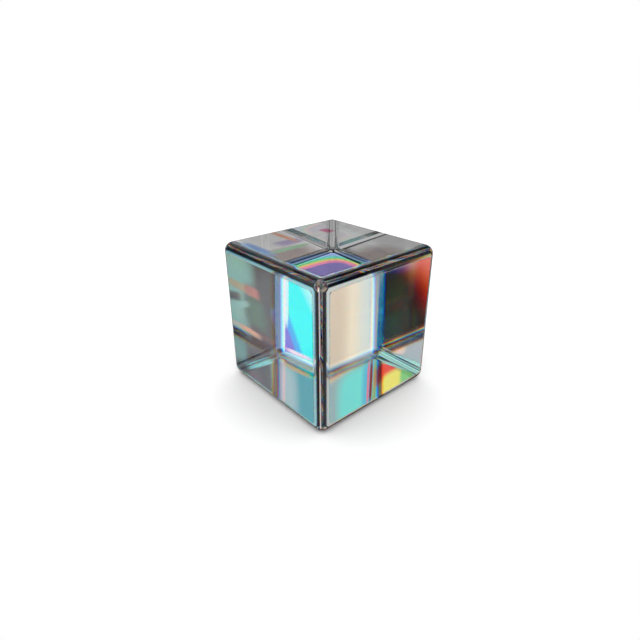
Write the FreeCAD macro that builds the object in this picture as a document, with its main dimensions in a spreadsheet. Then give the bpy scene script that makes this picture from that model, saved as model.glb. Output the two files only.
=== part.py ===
"""Colour-mixing block cube: one clear solid block with a coloured film laid on each of its six faces.

The block is cast and polished in one piece, with all of its edges and corners rounded, so that it works
as a parallel-sided window and as a set of total-reflection prisms at once. Each face carries a square of
coloured interference film, held by a sheet of clear adhesive. Opposite faces carry films of the same kind:
cyan on the left and right, pale yellow on the front and back, violet on the top and bottom. Nothing on the
cube moves.

Frame: millimetres, +Z up, the origin at the middle of the underside, -Y the front and +X the right.
"""

import FreeCAD, Part
import Sketcher
import math
import os

# Driving dimensions: alias, value in millimetres, what it is.
SIZES = [
    ("overall_side", 50.0, "side of the finished cube, over the films"),
    ("edge_radius", 3.0, "ball-end rounding of the block's edges and corners"),
    ("film_thickness", 0.2, "coloured film"),
    ("film_margin", 0.15, "bare strip of flat block round each film"),
    ("film_corner", 1.0, "corner radius of a film"),
    ("adhesive_thickness", 0.05, "clear adhesive sheet under a film"),
    ("adhesive_setback", 0.15, "how far the adhesive stops short of the film's edge"),
    ("adhesive_corner", 0.85, "corner radius of an adhesive sheet"),
]

# Lengths that follow from the driving dimensions, as expressions on the sheet.
STACK = "(Sizes.film_thickness + Sizes.adhesive_thickness)"
BLOCK_SIDE = f"(Sizes.overall_side - 2 * {STACK})"
FILM_SIDE = f"({BLOCK_SIDE} - 2 * (Sizes.edge_radius + Sizes.film_margin))"
ADHESIVE_SIDE = f"({FILM_SIDE} - 2 * Sizes.adhesive_setback)"

# Each face of the cube: its name, its outward normal, and the turn that points a layer's own +Z that way.
X_AXIS = FreeCAD.Vector(1, 0, 0)
Y_AXIS = FreeCAD.Vector(0, 1, 0)
FACES = [
    ("top", (0, 0, 1), FreeCAD.Rotation()),
    ("bottom", (0, 0, -1), FreeCAD.Rotation(X_AXIS, 180)),
    ("front", (0, -1, 0), FreeCAD.Rotation(X_AXIS, 90)),
    ("back", (0, 1, 0), FreeCAD.Rotation(X_AXIS, -90)),
    ("left", (-1, 0, 0), FreeCAD.Rotation(Y_AXIS, -90)),
    ("right", (1, 0, 0), FreeCAD.Rotation(Y_AXIS, 90)),
]

VOLUME_TOLERANCE = 1e-6  # as a share of the volume


def make_sheet(doc):
    """The spreadsheet of driving dimensions, one aliased cell each."""
    sheet = doc.addObject("Spreadsheet::Sheet", "Sizes")
    for row, (alias, value, meaning) in enumerate(SIZES, start=1):
        sheet.set(f"A{row}", alias)
        sheet.set(f"B{row}", str(value))
        sheet.setAlias(f"B{row}", alias)
        sheet.set(f"C{row}", meaning)
    doc.recompute()
    return sheet


def xy_plane(body):
    """The body's own XY origin plane."""
    return next(f for f in body.Origin.OriginFeatures if f.Role == "XY_Plane")


def centred_square(body, name, side):
    """A square sketch on the body's XY plane, centred on its origin, whose side is the expression given."""
    sketch = body.newObject("Sketcher::SketchObject", name)
    sketch.AttachmentSupport = [(xy_plane(body), "")]
    sketch.MapMode = "FlatFace"
    corners = [FreeCAD.Vector(x, y, 0) for x, y in ((-1, -1), (1, -1), (1, 1), (-1, 1))]
    count = len(corners)
    for i in range(count):
        sketch.addGeometry(Part.LineSegment(corners[i], corners[(i + 1) % count]), False)
    constrain = sketch.addConstraint
    constraint = Sketcher.Constraint
    for i in range(count):
        constrain(constraint("Coincident", i, 2, (i + 1) % count, 1))
    for i in (0, 2):
        constrain(constraint("Horizontal", i))
    for i in (1, 3):
        constrain(constraint("Vertical", i))
    origin = (-1, 1)
    constrain(constraint("Symmetric", 0, 1, 1, 2, *origin))
    constrain(constraint("Equal", 0, 1))
    constrain(constraint("DistanceX", 0, 1, 0, 2, 2.0))
    sketch.renameConstraint(sketch.ConstraintCount - 1, "side")
    sketch.setExpression("Constraints.side", side)
    return sketch


def padded(body, sketch, name, thickness):
    """The sketch padded along the body's +Z by the expression given."""
    pad = body.newObject("PartDesign::Pad", name)
    pad.Profile = sketch
    pad.setExpression("Length", thickness)
    sketch.Visibility = False
    body.Document.recompute()
    return pad


def upright_edges(shape):
    """The names of the edges that run along Z."""
    names = []
    for i, edge in enumerate(shape.Edges, start=1):
        start, end = (vertex.Point for vertex in edge.Vertexes)
        if math.hypot(end.x - start.x, end.y - start.y) < Part.Precision.confusion():
            names.append(f"Edge{i}")
    return names


def clear_block(doc):
    """The solid block, rounded on all twelve edges."""
    body = doc.addObject("PartDesign::Body", "clear_block")
    body.Label = "clear_block"
    sketch = centred_square(body, "block_square", BLOCK_SIDE)
    pad = padded(body, sketch, "block_pad", BLOCK_SIDE)
    rounding = body.newObject("PartDesign::Fillet", "block_rounding")
    rounding.Base = (pad, [f"Edge{i}" for i in range(1, len(pad.Shape.Edges) + 1)])
    rounding.setExpression("Radius", "Sizes.edge_radius")
    body.setExpression("Placement.Base.z", STACK)
    doc.recompute()
    return body


def layer(doc, face, kind, side, thickness, corner, depth):
    """A square plate with rounded corners, laid on a face with its inner side at that depth below it."""
    name, normal, turn = face
    label = f"{name}_{kind}"
    body = doc.addObject("PartDesign::Body", label)
    body.Label = label
    sketch = centred_square(body, f"{label}_square", side)
    pad = padded(body, sketch, f"{label}_pad", thickness)
    corners = body.newObject("PartDesign::Fillet", f"{label}_corners")
    corners.Base = (pad, upright_edges(pad.Shape))
    corners.setExpression("Radius", corner)
    body.Placement = FreeCAD.Placement(FreeCAD.Vector(), turn)
    reach = f"(Sizes.overall_side / 2 - {depth})"
    for axis, share in zip("xy", normal):
        body.setExpression(f"Placement.Base.{axis}", f"{share} * {reach}")
    body.setExpression("Placement.Base.z", f"Sizes.overall_side / 2 + {normal[2]} * {reach}")
    doc.recompute()
    return body


def rounded_cube_volume(side, radius):
    """Volume of a rounded cube: its inner cube, six slabs, twelve quarter rods and eight ball octants."""
    flat = side - 2 * radius
    return flat**3 + 6 * flat**2 * radius + 3 * math.pi * radius**2 * flat + 4 / 3 * math.pi * radius**3


def plate_volume(side, thickness, corner):
    """Volume of a square plate with rounded corners."""
    return (side**2 - (4 - math.pi) * corner**2) * thickness


def check(doc, bodies, expected):
    """Stops the build if any object failed, or a piece isn't one valid solid of the volume its sizes give."""
    for item in doc.Objects:
        if "Invalid" in item.State or "Error" in item.State:
            raise RuntimeError(f"{item.Label} failed: {item.State}")
    for body in bodies:
        shape = body.Shape
        if shape.isNull() or not shape.isValid() or len(shape.Solids) != 1:
            raise RuntimeError(f"{body.Label} isn't one valid solid")
        volume = expected[body.Label]
        if abs(shape.Volume - volume) > VOLUME_TOLERANCE * volume:
            raise RuntimeError(f"{body.Label} has volume {shape.Volume}, and not {volume}")


def main():
    doc = FreeCAD.newDocument("block_cube")
    sheet = make_sheet(doc)
    bodies = [clear_block(doc)]
    layers = [("adhesive", ADHESIVE_SIDE, STACK), ("film", FILM_SIDE, "Sizes.film_thickness")]
    for face in FACES:
        for kind, side, depth in layers:
            thickness = f"Sizes.{kind}_thickness"
            corner = f"Sizes.{kind}_corner"
            bodies.append(layer(doc, face, kind, side, thickness, corner, depth))
    doc.recompute()

    film = float(sheet.film_thickness)
    adhesive = float(sheet.adhesive_thickness)
    block_side = sheet.overall_side - 2 * (film + adhesive)
    film_side = block_side - 2 * (sheet.edge_radius + sheet.film_margin)
    adhesive_side = film_side - 2 * sheet.adhesive_setback
    expected = {"clear_block": rounded_cube_volume(block_side, sheet.edge_radius)}
    for name, _, _ in FACES:
        expected[f"{name}_film"] = plate_volume(film_side, film, sheet.film_corner)
        expected[f"{name}_adhesive"] = plate_volume(adhesive_side, adhesive, sheet.adhesive_corner)
    check(doc, bodies, expected)

    os.makedirs("parts", exist_ok=True)
    for body in bodies:
        body.Shape.exportStep(f"parts/{body.Label}.step")
        print(body.Label, round(body.Shape.Volume, 3), body.Shape.BoundBox)


main()
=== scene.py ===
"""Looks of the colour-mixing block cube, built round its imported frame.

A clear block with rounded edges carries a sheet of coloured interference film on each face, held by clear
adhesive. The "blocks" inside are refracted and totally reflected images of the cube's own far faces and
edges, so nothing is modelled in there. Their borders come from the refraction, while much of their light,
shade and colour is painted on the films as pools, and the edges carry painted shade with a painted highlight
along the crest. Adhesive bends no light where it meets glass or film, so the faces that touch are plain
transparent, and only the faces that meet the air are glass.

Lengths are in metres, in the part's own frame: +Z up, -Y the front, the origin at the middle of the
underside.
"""

import math

import bmesh
import bpy
from mathutils import Matrix, Vector


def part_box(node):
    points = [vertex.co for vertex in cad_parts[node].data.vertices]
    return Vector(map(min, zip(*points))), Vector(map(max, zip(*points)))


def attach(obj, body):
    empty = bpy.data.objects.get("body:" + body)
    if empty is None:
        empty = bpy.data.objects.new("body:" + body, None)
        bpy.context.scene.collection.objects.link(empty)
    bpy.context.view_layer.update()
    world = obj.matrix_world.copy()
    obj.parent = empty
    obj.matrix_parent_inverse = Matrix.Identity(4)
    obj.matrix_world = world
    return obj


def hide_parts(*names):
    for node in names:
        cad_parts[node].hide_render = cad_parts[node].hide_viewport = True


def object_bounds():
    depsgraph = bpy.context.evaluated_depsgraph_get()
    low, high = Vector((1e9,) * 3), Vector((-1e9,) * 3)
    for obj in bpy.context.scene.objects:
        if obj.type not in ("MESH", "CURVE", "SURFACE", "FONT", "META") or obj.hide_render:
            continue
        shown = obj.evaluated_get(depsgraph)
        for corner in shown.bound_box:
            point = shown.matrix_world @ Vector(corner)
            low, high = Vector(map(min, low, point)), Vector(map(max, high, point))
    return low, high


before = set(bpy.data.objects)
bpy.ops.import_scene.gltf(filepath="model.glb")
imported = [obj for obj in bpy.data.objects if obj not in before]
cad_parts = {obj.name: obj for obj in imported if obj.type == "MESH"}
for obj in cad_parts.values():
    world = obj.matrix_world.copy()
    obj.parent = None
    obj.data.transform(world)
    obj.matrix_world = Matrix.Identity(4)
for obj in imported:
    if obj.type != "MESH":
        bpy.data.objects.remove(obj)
cad_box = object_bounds()

MILLIMETRE = 0.001
TOUCH = 1e-6  # how far two flat readings may differ and still be the same plane
SAME_WAY = 0.9  # two unit vectors whose product is above this point the same way

# Mesh detail
EDGE_STEPS = 24
CORNER_STEPS = 10
RIM_ROUNDING = 0.05 * MILLIMETRE
RIM_STEPS = 4
GLUE_CLEARANCE = 0.001 * MILLIMETRE

# Glass: the index of refraction, how far the indices of red and blue lie apart for light that enters (at
# the edges and sides, and at the top and bottom), and how many colours that light is split into
INDEX = 1.46
SPREAD = 0.08
TOP_SPREAD = 0.0
BANDS = 9

# Rounded edges: where the painted shade on the sides and the painted highlight line along the crest start
# and are full, as a tilt. The tilt is the sizes of the normal's three parts, multiplied in pairs and added:
# 0 on a flat face, a half on the crest of an edge.
EDGE_SHADE_TILT = (0.20, 0.34)
CREST_HIGHLIGHT_TILT = (0.462, 0.485)

# Each face: its outward normal, and the direction that runs left to right as it is looked at from outside
FACES = {
    "top": (Vector((0, 0, 1)), Vector((1, 0, 0))),
    "bottom": (Vector((0, 0, -1)), Vector((1, 0, 0))),
    "front": (Vector((0, -1, 0)), Vector((1, 0, 0))),
    "back": (Vector((0, 1, 0)), Vector((-1, 0, 0))),
    "left": (Vector((-1, 0, 0)), Vector((0, -1, 0))),
    "right": (Vector((1, 0, 0)), Vector((0, 1, 0))),
}

# Colours of film and edge, as light that has passed through once. The edge colours and most of the films'
# pools are painted light and shade, standing in for the images that the glass shows.
WHITE = (1.0, 1.0, 1.0)
# Painted shade on the rounded edges: pale grey beside the faces, dark on the sides, and a lighter painted
# highlight line along the crest
RIM_PAINTED_SHADE = (0.62, 0.68, 0.72)
EDGE_PAINTED_SHADE = (0.05, 0.055, 0.07)
CREST_PAINTED_HIGHLIGHT = (0.92, 0.78, 0.76)
AQUA = (0.60, 0.98, 1.0)
IVORY = (0.95, 0.90, 0.80)
FROST = (0.97, 0.97, 0.97)
ROSE_GREY = (0.24, 0.15, 0.16)
MOSS_GREY = (0.24, 0.25, 0.20)
SLATE = (0.33, 0.205, 0.22)
SAGE = (0.68, 0.70, 0.62)
ASH = (0.42, 0.42, 0.40)
PEACH = (1.0, 0.55, 0.38)
RED = (0.95, 0.13, 0.12)
ROSE_RED = (0.95, 0.28, 0.36)
DUSK = (0.56, 0.49, 0.47)
CYAN = (0.05, 1.0, 0.97)
PALE_CYAN = (0.72, 1.0, 1.0)
BLUE = (0.10, 0.45, 0.95)
INDIGO = (0.35, 0.20, 0.75)
TEAL = (0.28, 0.50, 0.57)
MIST = (0.95, 0.82, 0.95)
HAZE = (0.85, 0.72, 0.75)
CREAM = (0.95, 0.89, 0.78)
TAN = (0.75, 0.66, 0.58)
PALE_BLUE = (0.76, 0.88, 0.93)
TURQUOISE = (0.25, 0.97, 1.0)
AZURE = (0.16, 0.64, 1.0)
STEEL = (0.42, 0.60, 0.68)
YELLOW = (0.98, 0.95, 0.26)
GREEN = (0.30, 0.76, 0.32)
MOSS = (0.40, 0.55, 0.25)
PLUM = (0.40, 0.22, 0.24)
CORAL = (1.0, 0.28, 0.26)
SEA = (0.50, 0.95, 0.98)
LAVENDER = (0.50, 0.58, 0.70)
MAROON = (0.30, 0.06, 0.08)
LIGHT_BLUE = (0.42, 0.60, 1.0)
LEAF = (0.50, 0.80, 0.55)
TEAL_GREEN = (0.20, 0.80, 0.75)
LILAC = (0.62, 0.55, 0.78)
VIOLET = (0.27, 0.22, 0.50)
PINK = (0.90, 0.32, 0.50)
ORANGE = (1.0, 0.60, 0.25)

# Each film: its finish in the record, its main colour, and the pools of other colours on it, each laid over
# the ones before it. A pool is a soft-edged, rounded oblong: its colour, its centre and its reach across and
# up, as shares of half the film's side, how far it is turned in degrees, and the share of its reach at which
# it starts to fade. A real film has no pools and changes colour by angle; they stand in for that. The pools
# are also painted light and shade: they paint the dark and bright panels, lines, rainbow fringes, rings and
# glints of the images that the glass shows, and the left film's dark main colour is painted shade.
FILMS = {
    "front": (
        "yellow_film",
        CREAM,
        [
            (TAN, (-1.05, 0.5), (0.45, 1.3), 0, 0.3),
            (PALE_BLUE, (-0.15, 0.6), (0.45, 1.2), 0, 0.3),
            (WHITE, (-0.17, 0.35), (0.09, 0.75), 0, 0.6),
            (AZURE, (-0.04, 0.35), (0.09, 0.75), 0, 0.5),
            (STEEL, (0.0, -1.3), (1.6, 1.08), 0, 0.9),
            (TURQUOISE, (-0.45, -0.75), (0.5, 0.6), 0, 0.5),
            (AZURE, (-0.2, -0.7), (0.22, 0.6), 0, 0.3),
            (PINK, (-0.25, -0.65), (0.03, 0.45), 0, 0.5),
            (MAROON, (-0.19, -0.65), (0.035, 0.45), 0, 0.5),
            (MOSS, (-0.11, -0.7), (0.05, 0.45), 0, 0.6),
            (ROSE_RED, (1.1, 0.75), (0.6, 0.7), 0, 0.5),
            (RED, (0.14, -0.62), (0.3, 0.24), 0, 0.5),
            (YELLOW, (0.28, -0.95), (0.32, 0.34), 0, 0.6),
            (GREEN, (0.66, -0.86), (0.22, 0.2), 0, 0.4),
            (LAVENDER, (0.85, -0.42), (0.6, 0.28), -33, 0.5),
            (HAZE, (0.42, -0.36), (0.22, 0.08), -25, 0.0),
            (SEA, (0.50, -0.62), (0.75, 0.10), -33, 0.8),
        ],
    ),
    "back": ("yellow_film", IVORY, []),
    "left": (
        "cyan_film",
        # Painted shade: a dark main colour for the dim images seen through this face
        ROSE_GREY,
        [
            (SAGE, (-1.0, 0.4), (0.65, 1.1), 0, 0.0),
            (SAGE, (-0.75, 0.95), (0.6, 0.45), 0, 0.0),
            (MOSS_GREY, (-0.30, 0.25), (0.35, 0.30), 0, 0.1),
            (PEACH, (-0.70, 0.56), (0.50, 0.09), 0, 0.1),
            (CORAL, (-0.36, 0.57), (0.26, 0.11), 0, 0.0),
            (SLATE, (-0.90, 0.34), (0.30, 0.10), 10, 0.1),
            (SAGE, (-0.75, 0.24), (0.40, 0.07), 20, 0.1),
            (SLATE, (-0.50, -0.75), (0.90, 0.50), 0, 0.6),
            (SAGE, (-0.80, -0.17), (0.40, 0.08), 0, 0.1),
            (PEACH, (-0.48, -0.13), (0.36, 0.07), 0, 0.1),
            (ASH, (-0.90, -0.60), (0.35, 0.30), 0, 0.0),
            (PLUM, (-0.40, -0.96), (0.24, 0.16), 0, 0.0),
            (CYAN, (1.30, 0.5), (0.80, 1.3), 0, 0.95),
            (PALE_CYAN, (1.11, 1.0), (0.32, 0.6), 39, 0.2),
            (BLUE, (0.47, 0.16), (0.26, 0.5), 30, 0.6),
            (INDIGO, (0.40, 0.13), (0.19, 0.45), 30, 0.6),
            (PALE_CYAN, (0.32, 0.4), (0.12, 0.80), -4, 0.9),
            (LIGHT_BLUE, (0.27, 0.4), (0.07, 0.80), -4, 0.6),
            (WHITE, (0.48, 0.75), (0.06, 0.5), -4, 0.6),
            (MIST, (0.72, 0.0), (0.36, 0.04), 8, 0.3),
            (PALE_CYAN, (0.72, -0.12), (0.42, 0.09), 8, 0.8),
            (TEAL, (0.8, -1.2), (0.75, 1.0), 0, 0.9),
            (HAZE, (0.35, -0.7), (0.4, 0.6), 0, 0.1),
            (PEACH, (0.66, -0.28), (0.36, 0.05), 8, 0.2),
            (PALE_CYAN, (-0.28, -0.60), (0.55, 0.07), 33, 0.4),
        ],
    ),
    "right": ("cyan_film", AQUA, []),
    "top": (
        "violet_film",
        WHITE,
        [
            (DUSK, (-0.75, -0.12), (0.55, 0.45), 0, 0.0),
            (DUSK, (0.12, -0.95), (0.55, 0.5), 0, 0.0),
            (LIGHT_BLUE, (-0.98, 0.42), (0.12, 0.5), 0, 0.2),
            (LILAC, (-0.42, 0.4), (0.3, 0.16), 0, 0.1),
            (PEACH, (-0.31, 0.68), (0.07, 0.42), 0, 0.1),
            (LEAF, (-0.6, 0.14), (0.42, 0.08), 0, 0.1),
            # Painted glint
            (PINK, (0.42, 0.5), (0.12, 0.16), 0, 0.0),
            (LIGHT_BLUE, (-1.0, -1.0), (0.90, 0.75), 0, 0.92),
            (TEAL_GREEN, (-1.0, -1.0), (0.77, 0.59), 0, 0.92),
            (GREEN, (-1.0, -1.0), (0.72, 0.53), 0, 0.92),
            (ORANGE, (-1.0, -1.0), (0.67, 0.46), 0, 0.92),
            (PINK, (-1.0, -1.0), (0.63, 0.41), 0, 0.92),
            (VIOLET, (-1.0, -1.0), (0.57, 0.34), 0, 0.88),
        ],
    ),
    "bottom": ("violet_film", FROST, []),
}

# Studio: soft colourless panels of light in a dark room, arranged for the view from the camera. Each has
# its direction from the cube (the angle round from +X and the angle up), how far it reaches from there and
# how wide its soft edge is, all in degrees, and its brightness. Where panels overlap, the later one shows.
ROOM_DARK = 0.015
PANELS = [
    # Overhead, underfoot, and low on each side
    ((0, 90), 22, 14, 0.4),
    ((0, -90), 20, 14, 0.25),
    ((0, -20), 14, 10, 0.5),
    ((90, -20), 12, 10, 0.5),
    ((180, -20), 14, 10, 0.5),
    ((-90, -20), 14, 10, 0.5),
    # Low behind the cube's back right edge: bright, with dimmer ones round it, where the three windows look
    ((20, -27), 10, 4, 0.38),
    ((34, -27), 7, 3, 0.36),
    ((37, -48), 8, 4, 0.52),
    ((68, -25), 13, 4, 0.39),
    ((84, -50), 14, 6, 0.49),
    ((50, -10), 9, 5, 0.58),
    ((48, -25), 11, 4, 1.0),
    # The same side, above: what the images under the windows show
    ((30, 34), 14, 4, 0.57),
    ((68, 34), 12, 4, 0.79),
    ((84, 34), 6, 4, 0.8),
    ((48, 35), 10, 4, 0.87),
    ((45, 4), 8, 4, 0.56),
    # Low on the left: dim, for the images on the top face and the lines between them
    ((165, -42), 17, 8, 0.58),
    ((-140, -50), 14, 8, 0.66),
    ((-72, -40), 10, 6, 0.42),
    ((-75, -26), 9, 4, 0.42),
    ((-146, -26), 6, 3, 0.45),
    ((-112, -16), 10, 5, 0.62),
    ((-110, -42), 12, 5, 0.64),
    ((-155, -16), 9, 5, 0.75),
    ((-133, -15), 7, 3, 0.61),
    ((-138, -37), 7, 4, 0.5),
    # In front, to the right: what the images on the left side show
    ((-31, -9), 7, 4, 0.47),
    ((-50, -5), 9, 4, 0.62),
    ((-57, -21), 10, 4, 0.75),
    ((-55, -14), 5.5, 2, 0.64),
    ((-62, 12), 7, 3, 0.68),
    ((-48, 48), 8, 4, 0.61),
    ((-58, 31), 11, 4, 1.0),
    # Behind, to the left: nearly black for the dark image on the right, brighter beside and above it
    ((151, -18), 8, 4, 0.9),
    ((138, -27), 9, 4, 0.03),
    ((139, -14), 5.5, 1.5, 0.5),
    ((136, 17), 9, 3, 0.84),
    ((143, 31), 9, 3, 1.0),
    ((129, 49), 10, 4, 0.73),
    ((127, -25), 6, 4, 1.0),
    ((152, 8), 7, 4, 0.74),
    # High and far round: the lines beside the windows
    ((-108, 48), 16, 6, 0.49),
    ((-138, 18), 13, 5, 0.54),
    ((176, -1), 8, 4, 0.22),
    ((-152, 42), 10, 5, 0.27),
    ((-160, 36), 8, 4, 0.21),
    ((-125, 40), 13, 6, 0.45),
    ((-26, -30), 7, 4, 1.0),
    ((117, 57), 9, 5, 0.78),
    ((-30, 57), 9, 5, 0.65),
]

# Ceiling: how much of the sky the light above spans, in degrees, and its strength
CEILING_SPAN = 120
CEILING_LIGHT = 3.6

# Floor: its colour, its radius in cube sides, the number of its sides, and how far it lies under the cube
FLOOR_GREY = (0.9, 0.9, 0.9)
FLOOR_REACH = 60
FLOOR_STEPS = 128
FLOOR_GAP = 0.02 * MILLIMETRE

# Camera: the angle round from the front and the angle up that it looks from, in degrees, its distance from
# the cube's middle in cube sides, the lens and the sensor's width in millimetres, and the shift as shares
# of that width
AZIMUTH = -41.81
ELEVATION = 25.50
SIDES_AWAY = 3.139
LENS = 25.56
SENSOR = 36.0
SHIFT = (-0.0123, -0.0119)

# Light paths: how often light may turn or bend, and how many glued faces it may cross
BOUNCES = 24
CROSSINGS = 96


def direction(turn, rise):
    """The direction at that angle round from +X and that angle up, both in degrees."""
    across = math.cos(math.radians(rise))
    return Vector((
        math.cos(math.radians(turn)) * across,
        math.sin(math.radians(turn)) * across,
        math.sin(math.radians(rise)),
    ))


def flat_reach(node):
    """How far the flat part of a node's topmost plane runs from its middle along X."""
    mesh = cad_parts[node].data
    top = max(v.co.z for v in mesh.vertices)
    return max(v.co.x for v in mesh.vertices if v.co.z > top - TOUCH)


def straight_reach(node):
    """How far a plate's straight side, the one at its greatest X, runs from its middle along Y."""
    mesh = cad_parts[node].data
    side = max(v.co.x for v in mesh.vertices)
    return max(v.co.y for v in mesh.vertices if v.co.x > side - TOUCH)


def plate_sizes(kind):
    """The top plate of that kind: half its side, its corner radius, and its lowest and highest level above
    the cube's middle."""
    node = f"top_{kind}"
    low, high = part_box(node)
    return high.x, high.x - straight_reach(node), low.z - MIDDLE.z, high.z - MIDDLE.z


MIDDLE = sum(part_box("clear_block"), Vector()) / 2
BLOCK_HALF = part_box("clear_block")[1].x
BLOCK_FLAT = flat_reach("clear_block")
EDGE_RADIUS = BLOCK_HALF - BLOCK_FLAT
CUBE_SIDE = cad_box[1][0] - cad_box[0][0]


def face_turn(name):
    """The turn that lays a plate made flat, facing up, on the named face, about the cube's middle."""
    normal, across = FACES[name]
    up = normal.cross(across)
    return Matrix((across, up, normal)).transposed()


def outline(half, radius):
    """The points of a rounded square with the direction that each faces, anticlockwise."""
    points = []
    for quarter in range(4):
        turn = Matrix.Rotation(quarter * math.pi / 2, 2)
        for step in range(CORNER_STEPS + 1):
            angle = step / CORNER_STEPS * math.pi / 2
            facing = turn @ Vector((math.cos(angle), math.sin(angle)))
            centre = turn @ Vector((half - radius, half - radius))
            points.append((centre + radius * facing, facing))
    return points


def new_piece(name, bm, normals, materials):
    """A piece of the cube from a bmesh, with its exact normals (one for each corner of each face)."""
    mesh = bpy.data.meshes.new(name)
    bm.to_mesh(mesh)
    bm.free()
    for polygon in mesh.polygons:
        polygon.use_smooth = True
    mesh.normals_split_custom_set(normals(mesh))
    for material in materials:
        mesh.materials.append(material)
    piece = bpy.data.objects.new(name, mesh)
    bpy.context.scene.collection.objects.link(piece)
    return piece


def rounded_normals(mesh):
    """Normals of a rounded cube: away from the nearest point of its flat-sided core."""
    normals = []
    for loop in mesh.loops:
        point = mesh.vertices[loop.vertex_index].co - MIDDLE
        core = Vector([max(-BLOCK_FLAT, min(BLOCK_FLAT, c)) for c in point])
        normals.append((point - core).normalized())
    return normals


def block_piece(materials):
    """The clear block: a cube with ball-end rounding, each flat face split along the outline of its film."""
    bm = bmesh.new()
    bmesh.ops.create_cube(bm, size=2 * BLOCK_HALF)
    bmesh.ops.bevel(
        bm, geom=bm.edges[:], offset=EDGE_RADIUS, segments=EDGE_STEPS, profile=0.5, affect="EDGES"
    )
    for vertex in bm.verts:
        core = Vector([max(-BLOCK_FLAT, min(BLOCK_FLAT, c)) for c in vertex.co])
        vertex.co = core + EDGE_RADIUS * (vertex.co - core).normalized()

    film_half, film_corner, _, _ = plate_sizes("film")
    for flat in [f for f in bm.faces if f.calc_area() > BLOCK_FLAT**2]:
        normal = flat.normal.copy()
        name = next(n for n, (way, _) in FACES.items() if way.dot(normal) > SAME_WAY)
        turn = face_turn(name)
        around = sorted(flat.verts, key=lambda v: math.atan2(*reversed((turn.transposed() @ v.co).xy)))
        around = around[2:] + around[:2]
        bmesh.ops.delete(bm, geom=[flat], context="FACES_ONLY")
        rim = [bm.verts.new(turn @ Vector((*p, BLOCK_HALF))) for p, _ in outline(film_half, film_corner)]
        bm.faces.new(rim).material_index = 1
        steps = CORNER_STEPS + 1
        for quarter, corner in enumerate(around):
            arc = rim[quarter * steps : (quarter + 1) * steps]
            for a, b in zip(arc, arc[1:]):
                bm.faces.new((b, a, corner))
            following = rim[(quarter + 1) * steps % len(rim)]
            bm.faces.new((following, arc[-1], corner, around[(quarter + 1) % 4]))
    bmesh.ops.recalc_face_normals(bm, faces=bm.faces[:])
    bmesh.ops.translate(bm, verts=bm.verts[:], vec=MIDDLE)
    return new_piece("block", bm, rounded_normals, materials)


def plate(name, face, half, corner, low, high, rounding, materials):
    """A flat sheet with rounded corners, and a rounded outer rim where rounding isn't 0."""
    bm = bmesh.new()
    shape = outline(half, corner)
    rings = [(0.0, low, 0.0)]
    steps = RIM_STEPS if rounding else 0
    for step in range(steps + 1):
        angle = step / max(steps, 1) * math.pi / 2
        rings.append((rounding * (1 - math.cos(angle)), high - rounding * (1 - math.sin(angle)), angle))
    facing = bm.verts.layers.float_vector.new("facing")
    loops = []
    for inset, level, angle in rings:
        loop = []
        for point, outwards in shape:
            vertex = bm.verts.new((*(point - inset * outwards), level))
            vertex[facing] = (*(math.cos(angle) * outwards), math.sin(angle))
            loop.append(vertex)
        loops.append(loop)
    count = len(shape)
    for inner, outer in zip(loops, loops[1:]):
        for i in range(count):
            j = (i + 1) % count
            bm.faces.new((inner[i], inner[j], outer[j], outer[i]))
    bm.faces.new(loops[-1])
    bm.faces.new(loops[0][::-1]).material_index = 1

    def normals(mesh):
        stored = mesh.attributes["facing"].data
        found = [None] * len(mesh.loops)
        for polygon in mesh.polygons:
            flat = len(polygon.vertices) > 4
            for i in polygon.loop_indices:
                around = Vector(stored[mesh.loops[i].vertex_index].vector)
                found[i] = polygon.normal.copy() if flat else around
        return found

    piece = new_piece(name, bm, normals, materials)
    piece.data.attributes.remove(piece.data.attributes["facing"])
    piece.matrix_world = Matrix.Translation(MIDDLE) @ face_turn(face).to_4x4()
    return piece


class Nodes:
    """A material's or a world's node tree, with short ways to add and link nodes."""

    def __init__(self, owner):
        owner.use_nodes = True
        self.tree = owner.node_tree
        self.tree.nodes.clear()

    def add(self, kind, inputs=(), **settings):
        """A node of that kind; inputs pairs an input's name or index with a value or an output to link."""
        node = self.tree.nodes.new(kind)
        for name, value in settings.items():
            setattr(node, name, value)
        for key, value in dict(inputs).items():
            if isinstance(value, bpy.types.NodeSocket):
                self.tree.links.new(value, node.inputs[key])
            elif isinstance(value, tuple) and len(value) == 3 and node.inputs[key].type == "RGBA":
                node.inputs[key].default_value = (*value, 1.0)
            else:
                node.inputs[key].default_value = value
        return node

    def mix_colour(self, share, a, b, way="MIX"):
        """The colour a, turned into b by that share."""
        node = self.add("ShaderNodeMix", {0: share, 6: a, 7: b}, data_type="RGBA", blend_type=way)
        return node.outputs[2]

    def vector(self, a, operation, b=(0.0, 0.0, 0.0)):
        """A vector operation on a, and on b where it takes two."""
        return self.add("ShaderNodeVectorMath", {0: a, 1: b}, operation=operation)

    def smooth_step(self, value, start, full):
        """A share that runs smoothly from 0, where the value is start, to 1, where it is full."""
        inputs = {0: value, 1: start, 2: full}
        return self.add("ShaderNodeMapRange", inputs, interpolation_type="SMOOTHSTEP").outputs[0]


def equal_mix(nodes, shaders):
    """All the shaders in equal shares."""
    mixed = shaders[0]
    for count, shader in enumerate(shaders[1:], start=2):
        mixed = nodes.add("ShaderNodeMixShader", {0: 1 / count, 1: mixed, 2: shader}).outputs[0]
    return mixed


def rainbow():
    """The colours that white light is split into, which average to white, each with its place from -1, red,
    to 1, blue."""
    places = [2 * i / (BANDS - 1) - 1 for i in range(BANDS)]
    width = 2 / 3
    peaks = (-width, 0.0, width)
    amounts = [[max(0.0, 1 - abs(place - peak) / width) for peak in peaks] for place in places]
    totals = [sum(column) / BANDS for column in zip(*amounts)]
    return [(tuple(a / t for a, t in zip(row, totals)), place) for row, place in zip(amounts, places)]


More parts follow.
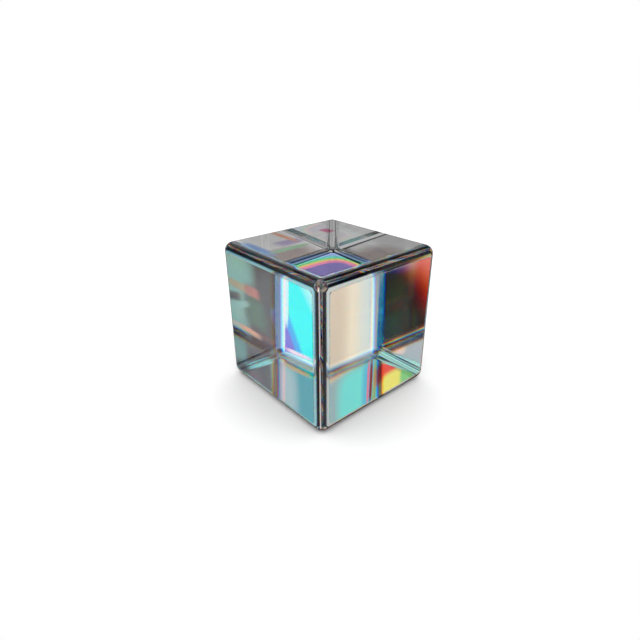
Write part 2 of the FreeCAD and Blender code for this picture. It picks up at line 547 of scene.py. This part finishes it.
def tinted(nodes, tint, colour):
    """The two colours multiplied. The tint is a plain colour or a node's output."""
    if isinstance(tint, bpy.types.NodeSocket):
        return nodes.mix_colour(1.0, tint, colour, "MULTIPLY")
    return tuple(t * c for t, c in zip(tint, colour))


def refraction(nodes, colour, index):
    """Perfectly clear bending of light."""
    inputs = {"Color": colour, "IOR": index, "Roughness": 0.0}
    return nodes.add("ShaderNodeBsdfRefraction", inputs).outputs[0]


def glass(nodes, entering, leaving, spread):
    """Polished glass that tints light as it enters and as it leaves. Light that enters is split into the
    colours of the rainbow where spread isn't 0; light that leaves is only bent."""
    bends = []
    for colour, place in rainbow() if spread else [(WHITE, 0.0)]:
        bends.append(refraction(nodes, tinted(nodes, entering, colour), INDEX + place * spread / 2))
    out = refraction(nodes, leaving, INDEX)
    inside = nodes.add("ShaderNodeNewGeometry").outputs["Backfacing"]
    bend = nodes.add("ShaderNodeMixShader", {0: inside, 1: equal_mix(nodes, bends), 2: out}).outputs[0]
    mirror = nodes.add("ShaderNodeBsdfAnisotropic", {"Color": WHITE, "Roughness": 0.0}).outputs[0]
    share = nodes.add("ShaderNodeFresnel", {"IOR": INDEX}).outputs[0]
    return nodes.add("ShaderNodeMixShader", {0: share, 1: bend, 2: mirror}).outputs[0]


def finished(nodes, shader):
    """Makes the shader the material's surface."""
    nodes.add("ShaderNodeOutputMaterial", {"Surface": shader})


def edge_material():
    """The block's bare rounded edges. Where light enters, they carry painted shade, pale grey beside the
    faces and then dark, with a nearly clear painted highlight line along the crest. Where it leaves, they
    are clear."""
    material = bpy.data.materials.new("polished_glass_with_painted_shade")
    nodes = Nodes(material)
    normal = nodes.add("ShaderNodeTexCoord").outputs["Normal"]
    sizes = nodes.vector(normal, "ABSOLUTE").outputs[0]
    parts = nodes.add("ShaderNodeSeparateXYZ", {0: sizes}).outputs
    turned = nodes.add("ShaderNodeCombineXYZ", {0: parts[1], 1: parts[2], 2: parts[0]}).outputs[0]
    tilt = nodes.vector(sizes, "DOT_PRODUCT", turned).outputs["Value"]
    tint = RIM_PAINTED_SHADE
    # Painted edge shade on the sides, then a painted highlight line along the crest
    for (start, full), colour in ((EDGE_SHADE_TILT, EDGE_PAINTED_SHADE), (CREST_HIGHLIGHT_TILT, CREST_PAINTED_HIGHLIGHT)):
        tint = nodes.mix_colour(nodes.smooth_step(tilt, start, full), tint, colour)
    finished(nodes, glass(nodes, tint, WHITE, SPREAD))
    return material


def bonded_material(name):
    """A face that is glued to the next piece, which bends no light."""
    material = bpy.data.materials.new(name)
    nodes = Nodes(material)
    finished(nodes, nodes.add("ShaderNodeBsdfTransparent", {"Color": WHITE}).outputs[0])
    return material


def film_tint_and_painted_light(nodes, half, main, pools):
    """The film's colour: its main colour, with soft-edged pools of others, which paint the light, shade,
    lines and glints of the images that the glass shows. A pool's outline is where the two distances from its
    centre, as shares of its reach and to the fourth power, add up to 1."""
    tint = main
    if pools:
        place = nodes.add("ShaderNodeTexCoord").outputs["Object"]
    for colour, centre, reach, turn, core in pools:
        spot = nodes.add(
            "ShaderNodeMapping",
            {
                0: place,
                1: (centre[0] * half, centre[1] * half, 0.0),
                2: (0.0, 0.0, math.radians(turn)),
                3: (reach[0] * half, reach[1] * half, half),
            },
            vector_type="TEXTURE",
        ).outputs[0]
        flat = nodes.vector(spot, "MULTIPLY", (1.0, 1.0, 0.0)).outputs[0]
        squared = nodes.vector(flat, "MULTIPLY", flat).outputs[0]
        away = nodes.vector(squared, "LENGTH").outputs["Value"]
        tint = nodes.mix_colour(nodes.smooth_step(away, 1.0, core**2), tint, colour)
    return tint


def film_material(face, half):
    """Coloured interference film, as it meets the air, with its pools of painted light and shade."""
    _, main, pools = FILMS[face]
    material = bpy.data.materials.new(f"{face}_film_colour_and_painted_light")
    nodes = Nodes(material)
    spread = TOP_SPREAD if face in ("top", "bottom") else SPREAD
    tint = film_tint_and_painted_light(nodes, half, main, pools)
    finished(nodes, glass(nodes, tint, tint, spread))
    return material


def build_cube():
    """Every piece of the cube, each standing for its CAD node."""
    bonded = bonded_material("bonded_face")
    glue = bonded_material("optical_adhesive")
    block = block_piece([edge_material(), bonded])
    pieces = [(block, "clear_block", "clear_block")]
    film_half, film_corner, film_low, film_high = plate_sizes("film")
    glue_half, glue_corner, glue_low, glue_high = plate_sizes("adhesive")
    glue_low += GLUE_CLEARANCE
    glue_high -= GLUE_CLEARANCE
    for face, (finish, _, _) in FILMS.items():
        colours = [film_material(face, film_half), bonded]
        name = f"{face}_colour_film"
        sheet = plate(name, face, film_half, film_corner, film_low, film_high, RIM_ROUNDING, colours)
        pieces.append((sheet, f"{face}_film", finish))
        sheet = plate(f"{face}_glue", face, glue_half, glue_corner, glue_low, glue_high, 0.0, [glue, glue])
        pieces.append((sheet, f"{face}_adhesive", "clear_adhesive"))
    for piece, node, finish in pieces:
        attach(piece, "root")
        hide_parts(node)


def grey(brightness):
    """The colourless light of that brightness."""
    return (brightness, brightness, brightness)


def build_room():
    """The studio round the cube, by direction, and plain white to the camera."""
    world = bpy.data.worlds.new("studio")
    bpy.context.scene.world = world
    nodes = Nodes(world)
    way = nodes.add("ShaderNodeTexCoord").outputs["Generated"]
    light = grey(ROOM_DARK)
    for (turn, rise), reach, softness, brightness in PANELS:
        aim = direction(turn, rise)
        cosine = nodes.vector(way, "DOT_PRODUCT", aim).outputs["Value"]
        outer = math.cos(math.radians(reach + softness / 2))
        inner = math.cos(math.radians(reach - softness / 2))
        light = nodes.mix_colour(nodes.smooth_step(cosine, outer, inner), light, grey(brightness))
    seen = nodes.add("ShaderNodeLightPath").outputs["Is Camera Ray"]
    light = nodes.mix_colour(seen, light, WHITE)
    background = nodes.add("ShaderNodeBackground", {"Color": light}).outputs[0]
    nodes.add("ShaderNodeOutputWorld", {"Surface": background})


def build_floor():
    """A plain pale floor, which the glass looks past into the studio."""
    bm = bmesh.new()
    bmesh.ops.create_circle(bm, cap_ends=True, segments=FLOOR_STEPS, radius=FLOOR_REACH * CUBE_SIDE)
    mesh = bpy.data.meshes.new("floor")
    bm.to_mesh(mesh)
    bm.free()
    floor = bpy.data.objects.new("floor", mesh)
    bpy.context.scene.collection.objects.link(floor)
    floor.location.z = -FLOOR_GAP
    material = bpy.data.materials.new("pale_floor")
    nodes = Nodes(material)
    finished(nodes, nodes.add("ShaderNodeBsdfDiffuse", {"Color": FLOOR_GREY}).outputs[0])
    mesh.materials.append(material)
    floor.visible_transmission = False
    floor.visible_glossy = False


def build_lights():
    """Even light from all of the ceiling, so that the floor stays pale up to the horizon."""
    light = bpy.data.lights.new("ceiling", "SUN")
    light.angle = math.radians(CEILING_SPAN)
    light.energy = CEILING_LIGHT
    lamp = bpy.data.objects.new("ceiling", light)
    lamp.visible_glossy = False
    lamp.visible_transmission = False
    bpy.context.scene.collection.objects.link(lamp)


def build_camera():
    """The camera, looking at the cube's middle from in front, to the left and above."""
    back = direction(AZIMUTH - 90, ELEVATION)
    data = bpy.data.cameras.new("camera")
    data.lens = LENS
    data.sensor_width = SENSOR
    data.shift_x, data.shift_y = SHIFT
    camera = bpy.data.objects.new("camera", data)
    camera.location = MIDDLE + back * SIDES_AWAY * CUBE_SIDE
    camera.rotation_euler = (-back).to_track_quat("-Z", "Y").to_euler()
    bpy.context.scene.collection.objects.link(camera)
    bpy.context.scene.camera = camera


def picture_settings():
    """Plain colours in the picture, and enough bounces for light that crosses every glued layer and turns
    back at several faces."""
    scene = bpy.context.scene
    scene.view_settings.view_transform = "Standard"
    scene.cycles.max_bounces = BOUNCES
    scene.cycles.glossy_bounces = BOUNCES
    scene.cycles.transmission_bounces = BOUNCES
    scene.cycles.transparent_max_bounces = CROSSINGS


build_cube()
build_room()
build_floor()
build_lights()
build_camera()
picture_settings()
